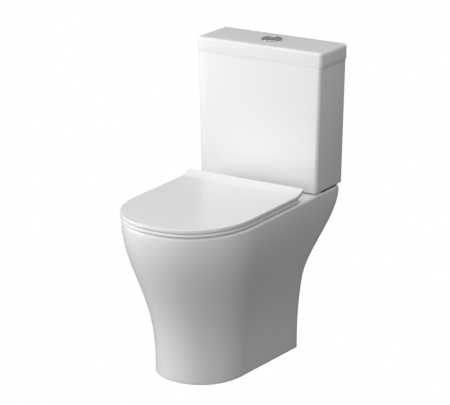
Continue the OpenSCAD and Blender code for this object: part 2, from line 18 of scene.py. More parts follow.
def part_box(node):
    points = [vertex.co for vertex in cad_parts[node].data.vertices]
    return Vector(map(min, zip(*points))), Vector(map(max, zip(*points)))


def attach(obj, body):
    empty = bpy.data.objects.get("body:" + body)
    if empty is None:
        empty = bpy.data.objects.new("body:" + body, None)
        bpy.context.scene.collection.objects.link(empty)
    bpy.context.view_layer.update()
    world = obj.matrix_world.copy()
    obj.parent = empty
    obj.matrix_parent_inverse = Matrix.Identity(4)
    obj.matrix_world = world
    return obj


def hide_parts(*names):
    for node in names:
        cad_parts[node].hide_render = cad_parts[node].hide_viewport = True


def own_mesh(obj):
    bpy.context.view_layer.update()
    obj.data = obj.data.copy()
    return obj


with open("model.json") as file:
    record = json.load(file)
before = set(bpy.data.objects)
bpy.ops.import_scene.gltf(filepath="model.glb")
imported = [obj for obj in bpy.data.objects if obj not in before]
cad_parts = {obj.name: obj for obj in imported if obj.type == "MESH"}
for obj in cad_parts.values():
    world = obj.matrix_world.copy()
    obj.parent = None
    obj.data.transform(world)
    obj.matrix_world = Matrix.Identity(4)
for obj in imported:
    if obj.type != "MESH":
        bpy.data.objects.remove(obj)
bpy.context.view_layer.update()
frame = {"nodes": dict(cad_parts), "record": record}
MM = 0.001
ROOT = "pan_and_cistern"

# %% [markdown]
# The wall plane, the deck and the top of the cistern come from the CAD boxes. Depths below are written as
# distances from the wall, as a fitter measures them, and `at_wall` turns one into the frame's own Y.

# %% Reference planes
pan_low, pan_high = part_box("pan")
cover_low, cover_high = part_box("cistern_lid")
tank_low, tank_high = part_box("cistern")
WALL_Y = cover_high.y
DECK_Z = pan_high.z


def at_wall(depth_mm):
    """The Y of a plane that lies depth_mm in front of the wall."""
    return WALL_Y - depth_mm * MM


print("wall at y =", round(WALL_Y, 4), "deck at z =", round(DECK_Z, 4))

# %% [markdown]
# ## Camera
# A long lens from the front right, a little above the seat, keeps the upright edges nearly parallel. The
# camera is placed from a target, an azimuth, an elevation and a distance.

# %% Camera
AZIMUTH, ELEVATION, DISTANCE = 32.13, 17.31, 5.516
LENS = 179.8
TARGET = Vector((0.00865, at_wall(300), 0.40555))


def look_from(azimuth, elevation):
    """Unit vector from the target towards an eye at that azimuth and elevation, in degrees."""
    a, e = math.radians(azimuth), math.radians(elevation)
    return Vector((math.sin(a) * math.cos(e), -math.cos(a) * math.cos(e), math.sin(e)))


camera_data = bpy.data.cameras.new("camera")
camera_data.sensor_width = 36.0
camera_data.lens = LENS
camera = bpy.data.objects.new("camera", camera_data)
bpy.context.collection.objects.link(camera)
towards_eye = look_from(AZIMUTH, ELEVATION)
camera.location = TARGET + towards_eye * DISTANCE
camera.rotation_euler = (-towards_eye).to_track_quat("-Z", "Y").to_euler()
bpy.context.scene.camera = camera
print("camera at", tuple(round(c, 2) for c in camera.location))

# %% [markdown]
# ## Light and floor
# White china needs a soft, directional light: a large low panel from the left models the curves, a weaker one
# lights the front, one from above lights the flat tops, and a faint one on the right lifts the far side. A
# pale surround fills the shadows. The floor looks white to the eye, so the piece stands as on a paper sweep,
# but it throws little light back, and so the foot darkens towards the ground.

# %% Light and floor
def softbox(name, azimuth, elevation, size, power, distance=3.0):
    """A square light panel that faces the toilet."""
    data = bpy.data.lights.new(name, "AREA")
    data.size = size
    data.energy = power
    panel = bpy.data.objects.new(name, data)
    bpy.context.collection.objects.link(panel)
    away = look_from(azimuth, elevation)
    panel.location = TARGET + away * distance
    panel.rotation_euler = away.to_track_quat("Z", "Y").to_euler()
    return panel


softbox("left_panel", -58, 8, 1.6, 34, distance=2.2)
softbox("front_panel", 8, 4, 1.6, 17, distance=2.2)
softbox("right_panel", 74, 40, 1.6, 7, distance=2.2)
softbox("top_panel", -10, 80, 2.0, 16, distance=2.2)

bpy.context.scene.view_settings.view_transform = "Standard"
surround = bpy.data.worlds.new("surround")
surround.use_nodes = True
bpy.context.scene.world = surround
sky = surround.node_tree.nodes["Background"]
sky.inputs["Color"].default_value = (1.0, 1.0, 1.0, 1.0)
FILL = 0.31
seen = surround.node_tree.nodes.new("ShaderNodeLightPath")
level = surround.node_tree.nodes.new("ShaderNodeMix")
level.inputs["A"].default_value = FILL
level.inputs["B"].default_value = 1.0
surround.node_tree.links.new(seen.outputs["Is Camera Ray"], level.inputs["Factor"])
surround.node_tree.links.new(level.outputs["Result"], sky.inputs["Strength"])


def paper_floor(half=6.0):
    """A pale floor that is lit like paper but looks white when seen directly."""
    bm = bmesh.new()
    bmesh.ops.create_grid(bm, x_segments=1, y_segments=1, size=half)
    mesh = bpy.data.meshes.new("floor")
    bm.to_mesh(mesh)
    bm.free()
    floor = bpy.data.objects.new("floor", mesh)
    bpy.context.collection.objects.link(floor)
    material = bpy.data.materials.new("floor_paper")
    material.use_nodes = True
    nodes, links = material.node_tree.nodes, material.node_tree.links
    nodes.clear()
    paper = nodes.new("ShaderNodeBsdfDiffuse")
    paper.inputs["Color"].default_value = (0.08, 0.08, 0.08, 1.0)
    white = nodes.new("ShaderNodeEmission")
    white.inputs["Color"].default_value = (1.0, 1.0, 1.0, 1.0)
    path = nodes.new("ShaderNodeLightPath")
    blend = nodes.new("ShaderNodeMixShader")
    out = nodes.new("ShaderNodeOutputMaterial")
    links.new(path.outputs["Is Camera Ray"], blend.inputs["Fac"])
    links.new(paper.outputs["BSDF"], blend.inputs[1])
    links.new(white.outputs["Emission"], blend.inputs[2])
    links.new(blend.outputs["Shader"], out.inputs["Surface"])
    mesh.materials.append(material)
    return floor


paper_floor()

# %% [markdown]
# ## Finishes
# A finish is one Principled shader with two noises behind it: a broad one that shifts the colour and the
# roughness a little, and a fine one that gives the surface its skin through bump. Both read Object
# coordinates, so they stay with the piece in every view.

# %% Finish maker
def finish(name, colour, vary=0.02, metallic=0.0, rough=(0.2, 0.3), broad=6.0, skin=900.0, bump=0.02,
           depth=0.0004, coat=0.0, coat_rough=0.03, ior=1.5, stretch=(1.0, 1.0, 1.0)):
    """A procedural material whose colour and roughness vary broadly, with a fine noise for its skin."""
    material = bpy.data.materials.new(name)
    material.use_nodes = True
    nodes, links = material.node_tree.nodes, material.node_tree.links
    shader = nodes["Principled BSDF"]
    shader.inputs["Metallic"].default_value = metallic
    shader.inputs["IOR"].default_value = ior
    shader.inputs["Coat Weight"].default_value = coat
    shader.inputs["Coat Roughness"].default_value = coat_rough
    place = nodes.new("ShaderNodeTexCoord")
    mapping = nodes.new("ShaderNodeMapping")
    mapping.inputs["Scale"].default_value = stretch
    links.new(place.outputs["Object"], mapping.inputs["Vector"])
    clouds = nodes.new("ShaderNodeTexNoise")
    clouds.inputs["Scale"].default_value = broad
    clouds.inputs["Detail"].default_value = 3.0
    links.new(mapping.outputs["Vector"], clouds.inputs["Vector"])
    tint = nodes.new("ShaderNodeMix")
    tint.data_type = "RGBA"
    tint.inputs["A"].default_value = tuple(c * (1 - vary) for c in colour) + (1.0,)
    tint.inputs["B"].default_value = tuple(min(1.0, c * (1 + vary)) for c in colour) + (1.0,)
    links.new(clouds.outputs["Fac"], tint.inputs["Factor"])
    links.new(tint.outputs["Result"], shader.inputs["Base Color"])
    gloss = nodes.new("ShaderNodeMapRange")
    gloss.inputs["To Min"].default_value, gloss.inputs["To Max"].default_value = rough
    links.new(clouds.outputs["Fac"], gloss.inputs["Value"])
    links.new(gloss.outputs["Result"], shader.inputs["Roughness"])
    grain = nodes.new("ShaderNodeTexNoise")
    grain.inputs["Scale"].default_value = skin
    grain.inputs["Detail"].default_value = 2.0
    links.new(mapping.outputs["Vector"], grain.inputs["Vector"])
    relief = nodes.new("ShaderNodeBump")
    relief.inputs["Strength"].default_value = bump
    relief.inputs["Distance"].default_value = depth
    links.new(grain.outputs["Fac"], relief.inputs["Height"])
    links.new(relief.outputs["Normal"], shader.inputs["Normal"])
    return material


# %% [markdown]
# The finishes of this piece: fired white glaze with a soft coat, moulded seat plastic, polished chrome,
# zinc plated steel, brass, black rubber, grey buffer rubber, and the grey and white plastics of the valves.

# %% The finishes
glaze = finish("white_glaze", (0.86, 0.86, 0.86), vary=0.006, rough=(0.32, 0.4), broad=3.0, skin=70.0,
               bump=0.05, depth=0.0002, coat=0.25, coat_rough=0.16)
seat_plastic = finish("seat_plastic", (0.88, 0.88, 0.875), vary=0.005, rough=(0.32, 0.4), broad=5.0,
                      skin=400.0, bump=0.02, depth=0.0001, coat=0.2, coat_rough=0.16)
chrome = finish("polished_chrome", (0.62, 0.63, 0.65), vary=0.03, metallic=1.0, rough=(0.05, 0.12),
                broad=60.0, skin=1500.0, bump=0.01, depth=0.0001)
zinc = finish("zinc_plate", (0.56, 0.57, 0.58), vary=0.08, metallic=1.0, rough=(0.25, 0.42), broad=120.0,
              skin=2500.0, bump=0.08, depth=0.0001)
brass = finish("turned_brass", (0.72, 0.52, 0.22), vary=0.06, metallic=1.0, rough=(0.2, 0.34), broad=80.0,
               skin=1800.0, bump=0.06, depth=0.0001, stretch=(1.0, 1.0, 6.0))
black_rubber = finish("black_rubber", (0.028, 0.028, 0.03), vary=0.2, rough=(0.6, 0.8), broad=90.0,
                      skin=2200.0, bump=0.25, depth=0.0002)
buffer_rubber = finish("buffer_rubber", (0.42, 0.43, 0.44), vary=0.05, rough=(0.5, 0.65), broad=90.0,
                       skin=2000.0, bump=0.15, depth=0.0001)
grey_plastic = finish("valve_grey", (0.36, 0.38, 0.41), vary=0.04, rough=(0.35, 0.5), broad=40.0,
                      skin=1600.0, bump=0.12, depth=0.0001)
white_plastic = finish("valve_white", (0.8, 0.81, 0.82), vary=0.03, rough=(0.25, 0.38), broad=40.0,
                       skin=1400.0, bump=0.06, depth=0.0001)
FINISH_OF_SLOT = {
    "china": glaze, "seat": seat_plastic, "chrome": chrome, "bright_steel": zinc, "brass": brass,
    "rubber": black_rubber, "soft_grey": buffer_rubber, "grey_plastic": grey_plastic,
    "white_plastic": white_plastic,
}
SLOT_OF_NODE = {row["node"]: row["material_slot"] for row in frame["record"]["subparts"]}
for node, cad in frame["nodes"].items():
    cad.data.materials.clear()
    cad.data.materials.append(FINISH_OF_SLOT[SLOT_OF_NODE[node]])
print("finishes:", sorted(FINISH_OF_SLOT))

# %% [markdown]
# ## Tools of the bench
# Most pieces are drawn out: a closed ring of points is extruded, and its copy is moved onto the next
# outline. `pull` does one such step with an extrude operator, so the faces join up by themselves.

# %% Drawing out rings
def ring_of(bm, points):
    """A closed ring of edges through the points."""
    verts = [bm.verts.new(p) for p in points]
    for i, v in enumerate(verts):
        bm.edges.new((v, verts[(i + 1) % len(verts)]))
    return verts


def pull(bm, ring, points):
    """Extrudes a closed ring and moves its copy onto the points."""
    edges = [bm.edges.get((v, ring[(i + 1) % len(ring)])) for i, v in enumerate(ring)]
    made = set(bmesh.ops.extrude_edge_only(bm, edges=edges)["geom"])
    copies = []
    for v, p in zip(ring, points):
        copy = next(e.other_vert(v) for e in v.link_edges if e.other_vert(v) in made)
        copy.co = p
        copies.append(copy)
    return copies


def lofted(outlines):
    """A mesh through the outlines, closed by a flat face at each end."""
    bm = bmesh.new()
    ring = ring_of(bm, outlines[0])
    first = ring
    for outline in outlines[1:]:
        ring = pull(bm, ring, outline)
    bm.faces.new(first)
    bm.faces.new(ring)
    bmesh.ops.recalc_face_normals(bm, faces=bm.faces)
    return bm


# %% [markdown]
# A piece becomes an object that sits at the origin, with its place in its mesh. Faces shade smooth, and an
# edge is sharp where its faces meet at more than `sharp` degrees.

# %% From mesh to piece
def as_object(bm, name, sharp=35):
    """Turns the bmesh into a linked object, smooth but for its sharp edges."""
    mesh = bpy.data.meshes.new(name)
    bm.to_mesh(mesh)
    bm.free()
    mesh.shade_smooth()
    mesh.set_sharp_from_angle(angle=math.radians(sharp))
    made = bpy.data.objects.new(name, mesh)
    bpy.context.collection.objects.link(made)
    return made


def settle(made, body, *nodes, slot=None):
    """Gives a piece its finish, its body and the CAD nodes that it stands for."""
    slot = slot or SLOT_OF_NODE[nodes[0]]
    made.data.materials.clear()
    made.data.materials.append(FINISH_OF_SLOT[slot])
    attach(made, body)
    if nodes:
        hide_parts(*nodes)
    print(made.name, "rides on", body, "with", len(made.data.polygons), "faces")
    return made


# %% [markdown]
# China is joined and hollowed by booleans between clean closed shapes. Each cut runs on a copy of the mesh
# and is applied at once, so that no live modifier is left on the piece.

# %% Joining and hollowing
def combine(target, others, operation, sharp=35):
    """Adds the others to the target, or cuts them out of it, and deletes them."""
    for other in others:
        cut = target.modifiers.new("cut", "BOOLEAN")
        cut.operation = operation
        cut.solver = "MANIFOLD"
        cut.object = other
        bpy.context.view_layer.update()
        result = bpy.data.meshes.new_from_object(target.evaluated_get(bpy.context.evaluated_depsgraph_get()))
        target.modifiers.clear()
        target.data = result
        bpy.data.objects.remove(other)
    target.data.shade_smooth()
    target.data.set_sharp_from_angle(angle=math.radians(sharp))
    return target


def soften(target, width_mm, angle=40, segments=3):
    """Rounds the sharp edges of a piece with the bevel operator."""
    bm = bmesh.new()
    bm.from_mesh(target.data)
    bmesh.ops.remove_doubles(bm, verts=bm.verts, dist=0.02 * MM)
    bmesh.ops.dissolve_degenerate(bm, edges=bm.edges, dist=0.01 * MM)
    limit = math.radians(angle)
    sharp = [e for e in bm.edges if len(e.link_faces) == 2 and e.calc_face_angle(0) > limit]
    bmesh.ops.bevel(bm, geom=sharp, offset=width_mm * MM, offset_type="OFFSET", affect="EDGES",
                    segments=segments, profile=0.5, clamp_overlap=True, material=-1)
    bm.to_mesh(target.data)
    bm.free()
    target.data.shade_smooth()
    target.data.set_sharp_from_angle(angle=math.radians(50))
    return target


# %% [markdown]
# Turned parts, such as washers, posts and tubes, are a half section spun round an axis. The section is a
# list of radius and height pairs in millimetres.

# %% Turning
AXES = {"x": (Vector((1, 0, 0)), Vector((0, 1, 0))), "y": (Vector((0, 1, 0)), Vector((1, 0, 0))),
        "z": (Vector((0, 0, 1)), Vector((1, 0, 0)))}


def turned(section, centre, axis="z", steps=64):
    """A bmesh spun from a closed half section: [(radius, height), ...] in mm, at centre in metres."""
    along, out = AXES[axis]
    bm = bmesh.new()
    ring_of(bm, [centre + along * (h * MM) + out * (r * MM) for r, h in section])
    bmesh.ops.spin(bm, geom=bm.verts[:] + bm.edges[:], cent=centre, axis=along, angle=2 * math.pi,
                   steps=steps, use_merge=True, use_duplicate=False)
    bmesh.ops.remove_doubles(bm, verts=bm.verts, dist=0.005 * MM)
    bmesh.ops.recalc_face_normals(bm, faces=bm.faces)
    return bm


def rounded(r, bore, low, high, edge=0.8, arc=3):
    """Half section of a ring from bore to r with its four edges rounded."""
    edge = min(edge, (r - bore) / 2.1, (high - low) / 2.1)
    corners = [(bore, low, 180), (r, low, 270), (r, high, 0), (bore, high, 90)]
    section = []
    for cx, cy, start in corners:
        ox = cx + edge if cx == bore else cx - edge
        oy = cy + edge if cy == low else cy - edge
        for i in range(arc + 1):
            a = math.radians(start + 90 * i / arc)
            section.append((ox + edge * math.cos(a), oy + edge * math.sin(a)))
    return section


# %% [markdown]
# ## Outlines of the china
# The pan is a D in plan at every height: straight sides and a superellipse for the nose. One flare curve
# drives its width and the reach of its nose, so foot and rim blend as on the cast original. The rear
# corners are rounded off with short arcs.

# %% Outline curves
def ease(t):
    """Half a wave from 0 to 1."""
    return math.sin(math.pi / 2 * min(max(t, 0.0), 1.0)) ** 2


def mix(a, b, t):
    """The value a share t of the way from a to b."""
    return a + (b - a) * t


def power_of(v, p):
    """A power that keeps the sign of v."""
    return math.copysign(abs(v) ** p, v)


def d_outline(z, back_hw, back, hw, nose_start, nose, power=2.0, steps=96, corner=0.0, side=12):
    """A D in plan in mm, depths from the wall: rear corner, straight side, nose, and back again."""
    right = []
    if corner > 0:
        for i in range(7):
            a = math.radians(90 - 90 * i / 6)
            right.append((back_hw - corner + corner * math.cos(a), back + corner - corner * math.sin(a)))
    for i in range(0 if corner == 0 else 1, side):
        t = i / side
        start = back + corner
        right.append((mix(back_hw, hw, t), mix(start, nose_start, t)))
    nose_points = []
    for i in range(steps + 1):
        a = math.pi * i / steps
        nose_points.append((hw * power_of(math.cos(a), 2 / power),
                            nose_start + nose * abs(math.sin(a)) ** (2 / power)))
    left = [(-x, d) for x, d in reversed(right)]
    return [Vector((x * MM, at_wall(d), z * MM)) for x, d in right + nose_points + left]


def egg_outline(z, hw, hl, middle, steps=128):
    """An ellipse in plan in mm, middle being its depth from the wall."""
    return [Vector((hw * math.cos(2 * math.pi * i / steps) * MM,
                    at_wall(middle - hl * math.sin(2 * math.pi * i / steps)), z * MM)) for i in range(steps)]


# %% [markdown]
# ## The pan
# Skirt, bowl, trapway and flush inlet are one casting. The outside is drawn out from foot to rim with a
# rounded top edge, then the hollow behind it, which is open to the back, is cut out. The bowl is an egg
# that narrows to the sump. Its cutter flares at the mouth, and that leaves the rolled inner edge of a
# rimless bowl.

# %% Pan outside and hollow
RIM = DECK_Z / MM
RIM_HW = pan_high.x / MM
FOOT_BACK_HW, FOOT_HW = 127.0, 115.0
FOOT_NOSE_START, RIM_NOSE_START = 373.0, 410.0
FOOT_NOSE = 135.0
RIM_NOSE = (WALL_Y - pan_low.y) / MM - RIM_NOSE_START
DECK_BACK, SWEEP = 15.0, 128.0
SWEEP_LOW, SWEEP_HIGH = 192.0, 396.0
NOSE_POWER = 2.2
CHINA = 12.0
DECK_T = 16.0
RIM_ROUND = 7.0


def skirt_outline(z, inset=0.0, back=None, corner=5.0):
    """Plan of the skirt at height z, in mm, inset from its outer face."""
    f = ease((min(z, 400.0) / 400.0) ** 1.32)
    swept = DECK_BACK + SWEEP * ease((SWEEP_HIGH - z) / (SWEEP_HIGH - SWEEP_LOW))
    return d_outline(z, mix(FOOT_BACK_HW, RIM_HW, f) - inset, swept if back is None else back,
                     mix(FOOT_HW, RIM_HW, f) - inset, mix(FOOT_NOSE_START, RIM_NOSE_START, f),
                     mix(FOOT_NOSE, RIM_NOSE, f) - inset, NOSE_POWER, corner=corner)


def skirt_solid():
    """The outside of the pan as one solid, with a small round at the foot and a larger one at the rim."""
    rings = [skirt_outline(2.0 * (1 - math.cos(a)), 2.0 * (1 - math.sin(a)))
             for a in (0.0, math.pi / 6, math.pi / 3)]
    rings += [skirt_outline(z) for z in range(2, 392, 6)]
    for i in range(13):
        a = math.pi / 2 * i / 12
        rings.append(skirt_outline(RIM - RIM_ROUND * (1 - math.sin(a)), RIM_ROUND * (1 - math.cos(a))))
    return as_object(lofted(rings), "pan_outside")


def skirt_hollow():
    """The space inside the skirt, open behind and below."""
    rings = [skirt_outline(max(z, 0.0), CHINA, back=0.0, corner=0.0) for z in range(-2, 384, 8)]
    for v in rings[0]:
        v.z = -2 * MM
    for i in range(7):
        a = math.pi / 2 * i / 6
        z = RIM - DECK_T - 6 * (1 - math.sin(a))
        rings.append(skirt_outline(z, CHINA + 6 * (1 - math.cos(a)), back=0.0, corner=0.0))
    return as_object(lofted(rings), "pan_hollow")


pan = combine(skirt_solid(), [skirt_hollow()], "DIFFERENCE")
print("pan skirt:", len(pan.data.polygons), "faces")

# %% [markdown]
# The bowl is drawn twice, as a solid a wall thicker and as the cutter for its inside. The trapway is a tube
# swept along its middle line, over the weir and down to the straight outlet.

# %% Bowl and trapway
BOWL_HW, BOWL_HL, BOWL_MIDDLE = 122.0, 150.0, 424.0
SUMP_FLOOR, SUMP_TOP = 76.0, 120.0
SUMP_HW, SUMP_HL, SUMP_MIDDLE = 42.0, 50.0, 412.0
MOUTH_ROUND = 9.0


def bowl_outline(z, grow=0.0):
    """Plan of the bowl at height z, in mm."""
    g = (max(0.0, z - SUMP_TOP) / (RIM - SUMP_TOP)) ** 0.6
    return egg_outline(z, mix(SUMP_HW, BOWL_HW, g) + grow, mix(SUMP_HL, BOWL_HL, g) + grow,
                       mix(SUMP_MIDDLE, BOWL_MIDDLE, g))


def bowl_solid(grow, low, high, mouth=0.0):
    """The bowl's form from the sump's floor up, with a flared mouth if asked."""
    rings = []
    for i in range(1, 9):
        a = math.pi / 2 * i / 8
        rings.append(egg_outline(low + 18 * (1 - math.cos(a)), (SUMP_HW + grow) * math.sin(a),
                                 (SUMP_HL + grow) * math.sin(a), SUMP_MIDDLE))
    z = low + 24.0
    while z < high - mouth:
        rings.append(bowl_outline(z, grow))
        z += 3.0 if z < SUMP_TOP + 30 else 8.0
    if mouth:
        for i in range(9):
            a = math.pi / 2 * i / 8
            ring = bowl_outline(high - mouth + mouth * math.sin(a), grow + mouth * (1 - math.cos(a)))
            rings.append(ring)
        rings.append(bowl_outline(high + 4, grow + mouth))
        for v in rings[-1]:
            v.z = (high + 4) * MM
    else:
        rings.append(bowl_outline(high, grow))
    return as_object(lofted(rings), "bowl_form")


TRAP_LINE = [(404, 110), (383, 112), (362, 117), (341, 129), (322, 148), (306, 170), (292, 192), (278, 211),
             (262, 224), (245, 230), (228, 230), (213, 223), (200, 212), (189, 199), (180, 190), (170, 184),
             (160, 182), (140, 180)]


def trap_tube(radius):
    """A round tube along the trapway's middle line, given as depth and height in mm."""
    rings = []
    for k, (depth, height) in enumerate(TRAP_LINE):
        d0, h0 = TRAP_LINE[max(k - 1, 0)]
        d1, h1 = TRAP_LINE[min(k + 1, len(TRAP_LINE) - 1)]
        across = Vector((0, -(h1 - h0), -(d1 - d0))).normalized()
        middle = Vector((0, at_wall(depth), height * MM))
        rings.append([middle + Vector((radius * MM * math.cos(2 * math.pi * i / 48), 0, 0))
                      + across * (radius * MM * math.sin(2 * math.pi * i / 48)) for i in range(48)])
    return as_object(lofted(rings), "trap_form")


# %% [markdown]
# The outlet spigot, the flush inlet, the water way and the lugs for the floor screws are simple solids that
# melt into the casting. All holes are cut last, with round cutters.

# %% Inlet, outlet, lugs and holes
VALVE_DEPTH = (WALL_Y - sum(c.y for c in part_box("doughnut_washer")) / 2) / MM
COUPLING_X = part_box("coupling_bolts")[1].x / MM - 8.0
HINGE_LOW, HINGE_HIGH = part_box("hinge_bolts")
HINGE_X = HINGE_HIGH.x / MM - 4.0
HINGE_DEPTH = (WALL_Y - (HINGE_LOW.y + HINGE_HIGH.y) / 2) / MM
INLET_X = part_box("blanking_nut")[1].x / MM - 16.0
LUG_X, LUG_DEPTH = 95.0, 190.0


def rod(x, depth, low, high, radius, axis="z", steps=48):
    """A round solid: low and high are heights, or for axis y the depths of its two ends, in mm."""
    bm = bmesh.new()
    length = abs(high - low)
    bmesh.ops.create_cone(bm, cap_ends=True, segments=steps, radius1=radius * MM, radius2=radius * MM,
                          depth=length * MM)
    if axis == "y":
        turn = Matrix.Rotation(math.pi / 2, 4, "X")
        centre = Vector((x * MM, at_wall((low + high) / 2), depth * MM))
    else:
        turn = Matrix.Identity(4)
        centre = Vector((x * MM, at_wall(depth), (low + high) / 2 * MM))
    bmesh.ops.transform(bm, matrix=Matrix.Translation(centre) @ turn, verts=bm.verts)
    return as_object(bm, "rod_form")


def block(x0, x1, depth0, depth1, z0, z1, edge=0.0):
    """A box between the given planes in mm, its edges rounded if asked."""
    bm = bmesh.new()
    bmesh.ops.create_cube(bm, size=1.0)
    size = Vector(((x1 - x0) * MM, abs(depth1 - depth0) * MM, (z1 - z0) * MM))
    centre = Vector(((x0 + x1) / 2 * MM, at_wall((depth0 + depth1) / 2), (z0 + z1) / 2 * MM))
    bmesh.ops.transform(bm, matrix=Matrix.Translation(centre) @ Matrix.Diagonal(size.to_4d()), verts=bm.verts)
    if edge:
        bmesh.ops.bevel(bm, geom=bm.edges[:], offset=edge * MM, affect="EDGES", segments=4, profile=0.5,
                        material=-1)
    return as_object(bm, "block_form")


def both(maker, x, *rest, **named):
    """The same form on the left and on the right."""
    return [maker(side * x, *rest, **named) for side in (-1, 1)]


CHANNEL_LOW, CHANNEL_HIGH = RIM - 55, RIM - 27
added = [bowl_solid(CHINA, SUMP_FLOOR - CHINA, RIM - 2), trap_tube(47),
         rod(0, 180, 154, 110, 51, axis="y", steps=96),
         rod(0, VALVE_DEPTH, CHANNEL_LOW - CHINA, RIM - 1, 46.5, steps=96),
         block(-40, 40, VALVE_DEPTH, 290, CHANNEL_LOW - CHINA, RIM - 1)]
added += [block(s * LUG_X - 15, s * LUG_X + 15, LUG_DEPTH - 20, LUG_DEPTH + 20, 0, 15, edge=2.5)
          for s in (-1, 1)]
combine(pan, added, "UNION")
cut = [bowl_solid(0, SUMP_FLOOR, RIM, mouth=MOUTH_ROUND), trap_tube(37),
       rod(0, 180, 158, 102, 41, axis="y", steps=96),
       rod(0, VALVE_DEPTH, CHANNEL_LOW, RIM + 5, 33, steps=96),
       rod(0, VALVE_DEPTH, RIM - 19, RIM + 5, 43, steps=96),
       block(-28, 28, VALVE_DEPTH, 305, CHANNEL_LOW, CHANNEL_HIGH, edge=8)]
cut += both(rod, COUPLING_X, VALVE_DEPTH, RIM - 40, RIM + 5, 6)
cut += both(rod, HINGE_X, HINGE_DEPTH, RIM - 40, RIM + 5, 7)
cut += both(rod, LUG_X, LUG_DEPTH, -5, 20, 4.5)
cut += [block(s * INLET_X - 25, s * INLET_X + 25, -20, 96, RIM - 40, RIM + 10) for s in (-1, 1)]
combine(pan, cut, "DIFFERENCE")
pan.name = "pan_casting"
settle(pan, ROOT, "pan")

# %% [markdown]
# ## The cistern and its cover
# Both are boxes with round corners, drawn out with a slight taper. The cistern is narrower at its foot. The
# cover hangs over it by a few millimetres, and has a soft top edge and a rim that drops inside.

# %% Round cornered boxes
def box_outline(z, hw, back, front, corner, steps=8, crown=0.0):
    """A rectangle in plan with round corners, in mm, its front bowed out a little in the middle."""
    points = []
    for quarter in range(4):
        cx = hw - corner if quarter < 2 else corner - hw
        cy = back + corner if quarter in (0, 3) else front - corner
        for i in range(steps + 1):
            a = math.radians(90 - 90 * quarter - 90 * i / steps)
            points.append((cx + corner * math.cos(a), cy - corner * math.sin(a)))
        if quarter == 1:
            for i in range(1, 16):
                t = i / 16
                points.append((mix(hw - corner, corner - hw, t), front + crown * math.sin(math.pi * t)))
    return [Vector((x * MM, at_wall(d), z * MM)) for x, d in points]


TANK_TOP, TANK_FOOT = tank_high.z / MM, tank_low.z / MM
TANK_HW = tank_high.x / MM
TANK_BACK, TANK_FRONT = (WALL_Y - tank_high.y) / MM, (WALL_Y - tank_low.y) / MM
TAPER = 7.0
TANK_WALL = 10.0
TANK_ROUND = 6.0


def tank_outline(z, inset=0.0, crown=0.0, corner=9.0):
    """Plan of the cistern at height z."""
    hw = TANK_HW - TAPER * (TANK_TOP - z) / (TANK_TOP - TANK_FOOT)
    return box_outline(z, hw - inset, TANK_BACK + inset, TANK_FRONT - crown - inset,
                       max(corner - inset, 2.5), crown=crown)


def rounded_heights(low, high, edge_low, edge_high, steps=8):
    """Heights and insets of a form whose bottom and top edges are rounded."""
    rows = []
    for i in range(steps + 1):
        a = math.pi / 2 * i / steps
        rows.append((low + edge_low * (1 - math.cos(a)), edge_low * (1 - math.sin(a))))
    for i in range(steps + 1):
        a = math.pi / 2 * i / steps
        rows.append((high - edge_high * (1 - math.sin(a)), edge_high * (1 - math.cos(a))))
    return rows


tank_rows = rounded_heights(TANK_FOOT, TANK_TOP, TANK_ROUND, 0.3)
tank = as_object(lofted([tank_outline(z, inset, crown=0.6) for z, inset in tank_rows]), "cistern_shell")
chamber_rows = rounded_heights(TANK_FOOT + 12, TANK_TOP + 6, 8, 0.5)
chamber = as_object(lofted([tank_outline(z, TANK_WALL + inset) for z, inset in chamber_rows]), "chamber")
holes = [rod(0, VALVE_DEPTH, TANK_FOOT - 5, TANK_FOOT + 25, 31, steps=96)]
holes += both(rod, COUPLING_X, VALVE_DEPTH, TANK_FOOT - 5, TANK_FOOT + 25, 6)
holes += both(rod, INLET_X, VALVE_DEPTH, TANK_FOOT - 5, TANK_FOOT + 25, 11.5)
holes += both(rod, 100, 690, -10, 20, 4, axis="y")
combine(tank, [chamber] + holes, "DIFFERENCE")
settle(tank, ROOT, "cistern")

# %% Cistern cover
COVER_TOP, COVER_HW = cover_high.z / MM, cover_high.x / MM
COVER_DEPTH = (WALL_Y - cover_low.y) / MM
COVER_FOOT = TANK_TOP + 0.15


def cover_outline(z, inset):
    """Plan of the cistern cover at height z."""
    return box_outline(z, COVER_HW - inset, inset, COVER_DEPTH - 0.9 - inset, max(10 - inset, 2.5), crown=0.5)


cover = as_object(lofted([cover_outline(z, inset)
                          for z, inset in rounded_heights(COVER_FOOT, COVER_TOP, 0.3, 8.0)]), "cistern_cover")
RIM_INSET, HOLLOW_INSET, BUTTON_HOLE_R = 15.5, 21.0, 23.5
rim_rows = rounded_heights(COVER_FOOT - 8, COVER_FOOT + 3, 1.5, 0.1)
rim_inside = as_object(lofted([cover_outline(z, RIM_INSET + inset) for z, inset in rim_rows]), "rim")
combine(cover, [rim_inside], "UNION")
under_rows = rounded_heights(COVER_FOOT - 12, COVER_TOP - 12, 0.1, 8.0)
under = as_object(lofted([cover_outline(z, HOLLOW_INSET + inset) for z, inset in under_rows]), "under")
button_hole = rod(0, VALVE_DEPTH, COVER_TOP - 30, COVER_TOP + 5, BUTTON_HOLE_R, steps=96)
combine(cover, [under, button_hole], "DIFFERENCE")
settle(cover, "cistern_lid_body", "cistern_lid")

# %% [markdown]
# ## Seat ring and seat lid
# The ring is a flat D with rounded edges and an egg opening. The lid is a thin shell over it, whose rear
# edge sweeps up like the tip of a ski to hide the hinges. It is drawn flat first, sliced across near its
# back with bisect cuts, and those slices are then lifted along a curve.

